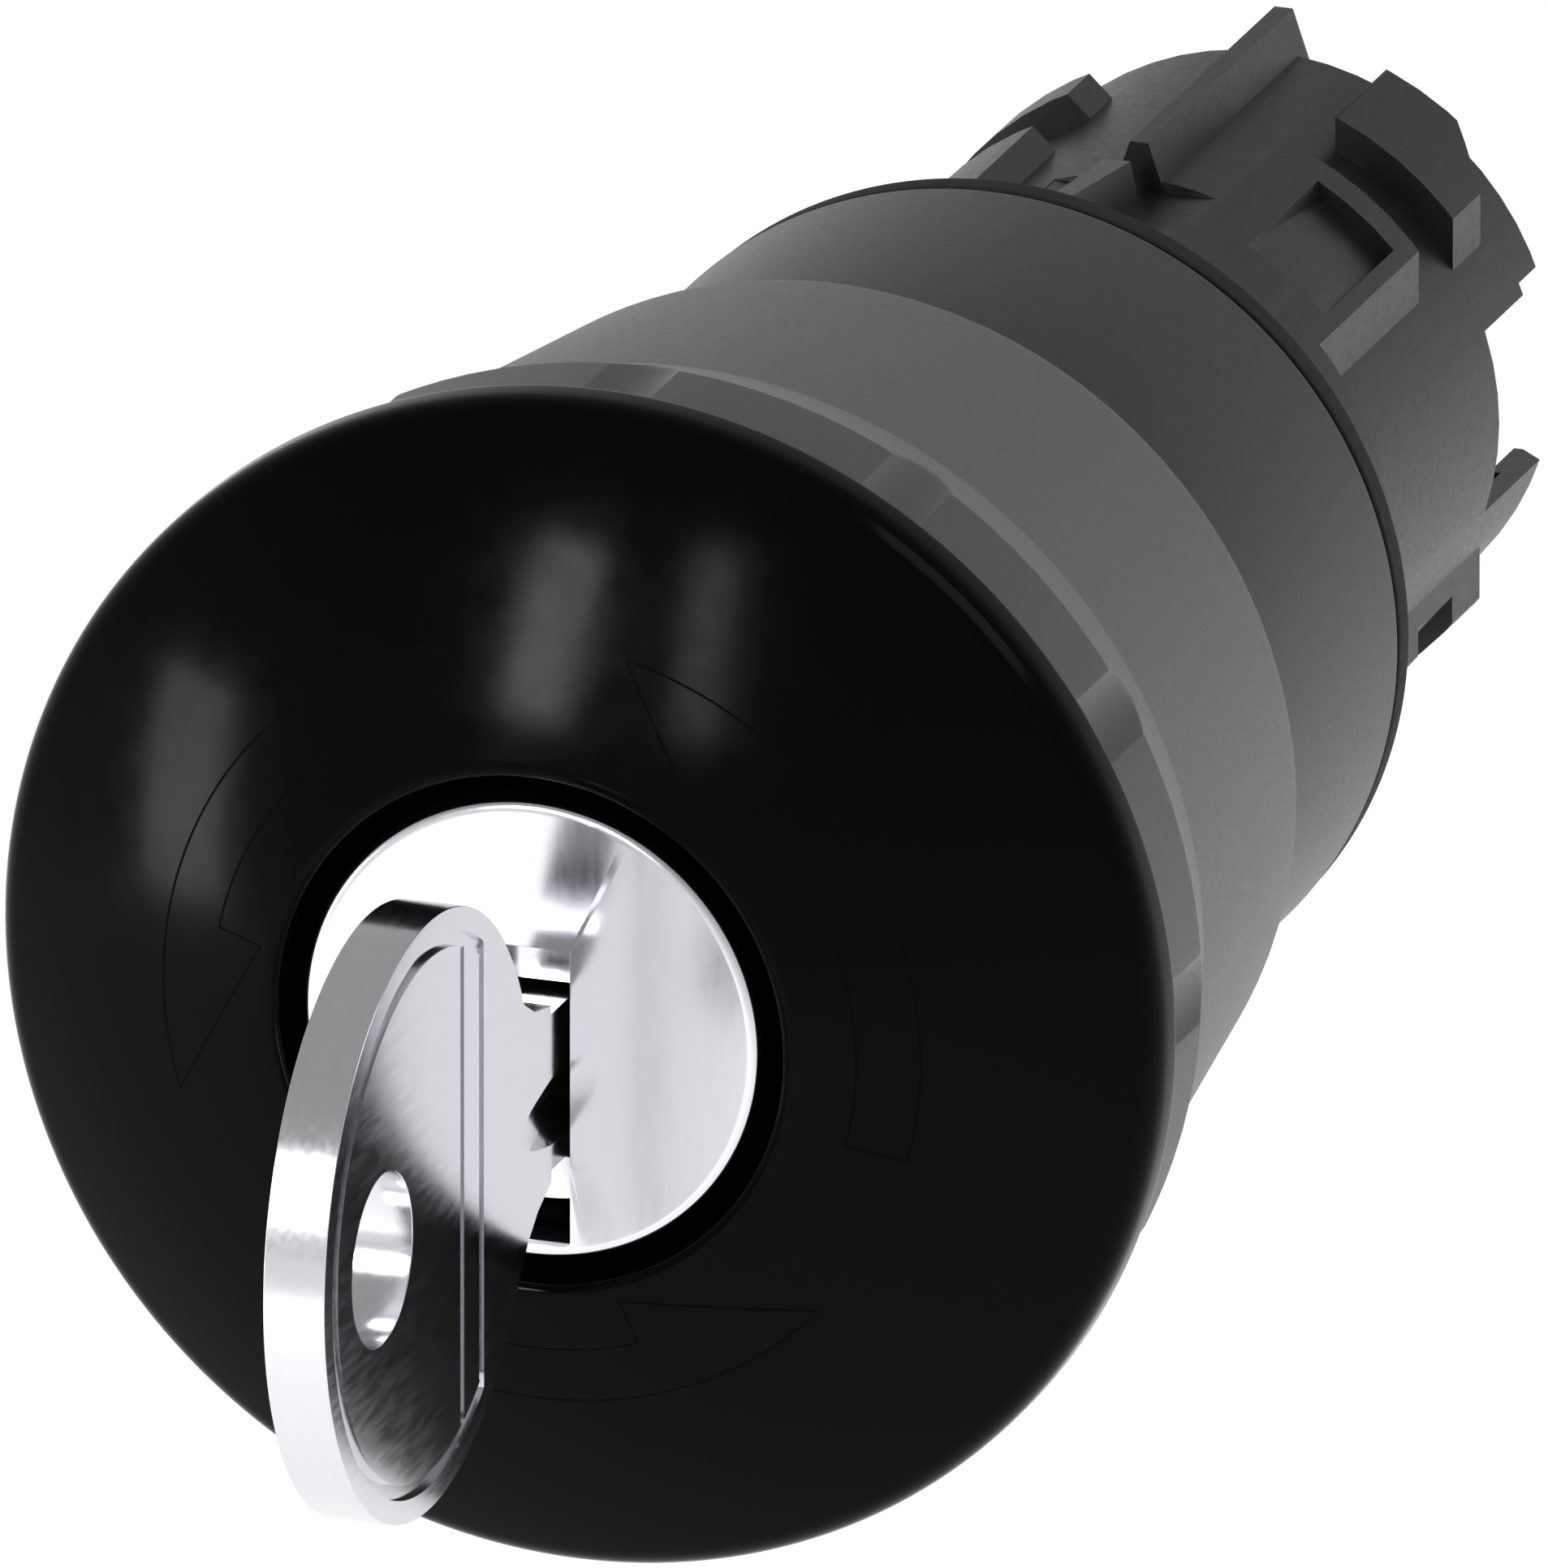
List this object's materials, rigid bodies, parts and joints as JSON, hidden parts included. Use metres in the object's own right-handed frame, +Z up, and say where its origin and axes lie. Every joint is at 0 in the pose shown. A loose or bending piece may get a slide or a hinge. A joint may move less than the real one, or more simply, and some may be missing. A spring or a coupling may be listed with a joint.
{
  "type": "key release mushroom pushbutton",
  "caption": "Latching mushroom pushbutton for a 22 mm panel hole: domed round head on a tapered skirt, front lock with its key in place, round collar, gasket and ribbed barrel.",
  "frame": {"origin": "centre of the panel hole, on the front face of the panel, which is the rear face of the gasket", "axes": "+Y along the button's axis from the head to the rear end of the barrel, +Z up to the locating fin and the rib, +X to the right seen from the front"},
  "size_m": [0.04, 0.0961, 0.04],
  "materials": {
    "gloss_black": "moulded, polished",
    "grip_grey": "moulded, satin",
    "collar_grey": "moulded, satin",
    "barrel_grey": "moulded, fine matt",
    "seal_rubber": "moulded, dull",
    "chrome": "plated",
    "brass": "as machined",
    "spring_steel": "drawn wire and strip",
    "inner_nylon": "moulded, natural"
  },
  "bodies": {
    "housing": {"front_collar": "collar_grey", "panel_gasket": "seal_rubber", "rear_housing": "barrel_grey", "stem_seal": "seal_rubber", "return_spring": "spring_steel", "latch_carrier": "inner_nylon", "pawl_ring_spring": "spring_steel"},
    "head": {"mushroom_cap": "gloss_black", "grip_skirt": "grip_grey", "stem": "inner_nylon", "head_screw_1": "spring_steel", "head_screw_2": "spring_steel", "head_screw_3": "spring_steel", "lock_stator": "chrome", "rear_pusher": "inner_nylon", "key_return_spring": "spring_steel"},
    "rotor": {"lock_rotor": "chrome", "wafer_1": "brass", "wafer_2": "brass", "wafer_3": "brass", "wafer_4": "brass", "wafer_5": "brass", "wafer_spring_1": "spring_steel", "wafer_spring_2": "spring_steel", "wafer_spring_3": "spring_steel", "wafer_spring_4": "spring_steel", "wafer_spring_5": "spring_steel", "rotor_clip": "spring_steel", "release_shaft": "brass", "release_cam": "inner_nylon", "cam_clip": "spring_steel"},
    "key_body": {"key": "chrome"},
    "pawl_upper": {"latch_pawl_upper": "brass"},
    "pawl_lower": {"latch_pawl_lower": "brass"}
  },
  "joints": [
    {"name": "head_press", "type": "slide", "parent": "housing", "child": "head", "axis": [0, 1, 0], "range_m": [0, 0.004], "stiffness_N_per_m": 3000, "springref_m": -0.002, "deforming": ["return_spring"]},
    {"name": "key_turn", "type": "hinge", "parent": "head", "child": "rotor", "pos_m": [0, 0, 0], "axis": [0, 1, 0], "range_deg": [0, 45], "stiffness_Nm_per_rad": 0.03, "springref_deg": -11.46},
    {"name": "key_withdraw", "type": "slide", "parent": "rotor", "child": "key_body", "axis": [0, -1, 0], "range_m": [0, 0.027]},
    {"name": "pawl_upper_lift", "type": "slide", "parent": "housing", "child": "pawl_upper", "axis": [0, 0, 1], "range_m": [-0.0009, 0.00045]},
    {"name": "pawl_lower_lift", "type": "slide", "parent": "housing", "child": "pawl_lower", "axis": [0, 0, -1], "range_m": [-0.0009, 0.00045]}
  ],
  "couplings": [
    {"joint": "pawl_upper_lift", "follows": "key_turn", "m_per_rad": 0.00057},
    {"joint": "pawl_lower_lift", "follows": "key_turn", "m_per_rad": 0.00057}
  ]
}
